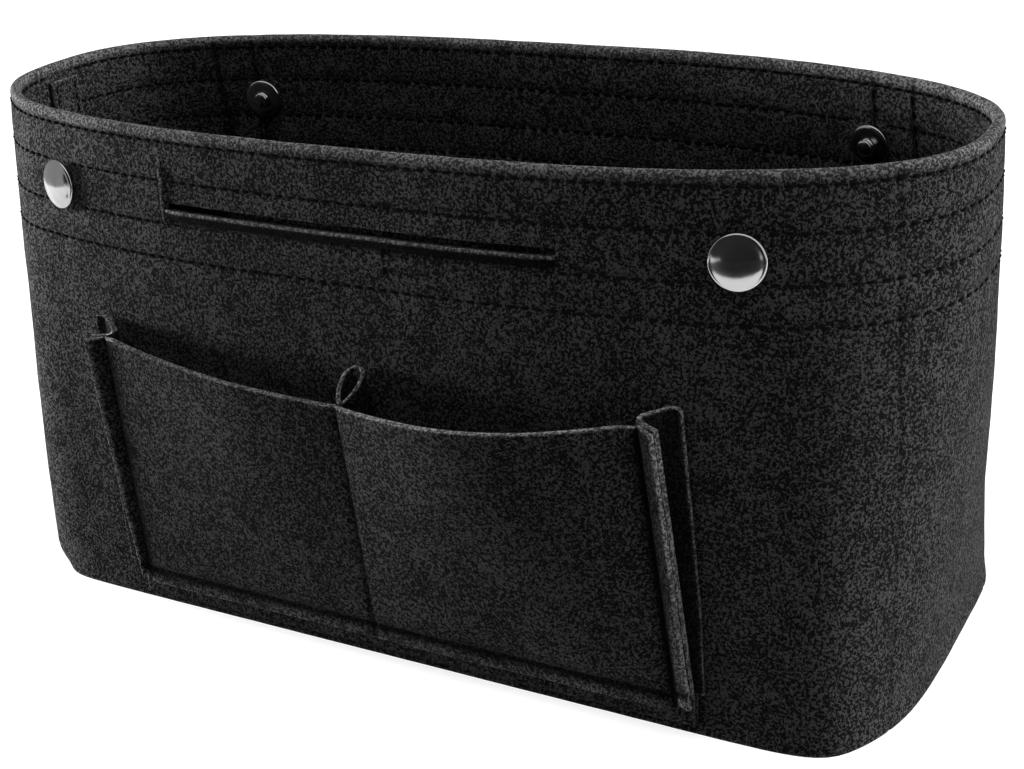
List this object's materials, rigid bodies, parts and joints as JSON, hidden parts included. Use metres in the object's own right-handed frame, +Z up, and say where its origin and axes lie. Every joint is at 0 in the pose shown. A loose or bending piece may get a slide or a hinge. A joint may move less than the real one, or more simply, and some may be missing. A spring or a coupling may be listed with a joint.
{
  "type": "purse organizer insert",
  "caption": "Open oval felt tub that stands inside a handbag, with a bellows pocket and a slit pocket on its front, slip pockets inside and press fasteners near the corners.",
  "frame": {"origin": "middle of the base's flat underside", "axes": "+X along the length, towards the right end as the front is looked at; +Y from the pocketed front to the back; +Z up to the rim"},
  "size_m": [0.2858, 0.1313, 0.1424],
  "materials": {
    "felt": "matte fuzzy felt",
    "board": "matt",
    "nickel": "polished"
  },
  "bodies": {
    "tub": {"front_wall": "felt", "back_wall": "felt", "slit_pocket_welt": "felt", "side_seam_strip_left": "felt", "side_seam_strip_right": "felt", "base_panel": "felt", "base_lining": "felt", "front_pocket_gusset_left": "felt", "front_pocket_gusset_right": "felt", "front_pocket_foot_strip": "felt", "front_pocket_divider": "felt", "inside_pocket_row_back": "felt", "inside_pocket_row_front": "felt", "base_board": "board", "snap_cap_front_left": "nickel", "snap_socket_front_left": "nickel", "snap_cap_front_right": "nickel", "snap_socket_front_right": "nickel", "snap_cap_back_left": "nickel", "snap_stud_back_left": "nickel", "snap_cap_back_right": "nickel", "snap_stud_back_right": "nickel"},
    "front_pocket": {"front_pocket_panel": "felt"}
  },
  "joints": [
    {"name": "front_pocket_opening", "type": "hinge", "parent": "tub", "child": "front_pocket", "pos_m": [0, -0.0611, 0.0075], "axis": [1, 0, 0], "range_deg": [-2.5, 1.5], "deforming": ["front_pocket_gusset_left", "front_pocket_gusset_right", "front_pocket_divider"]}
  ]
}
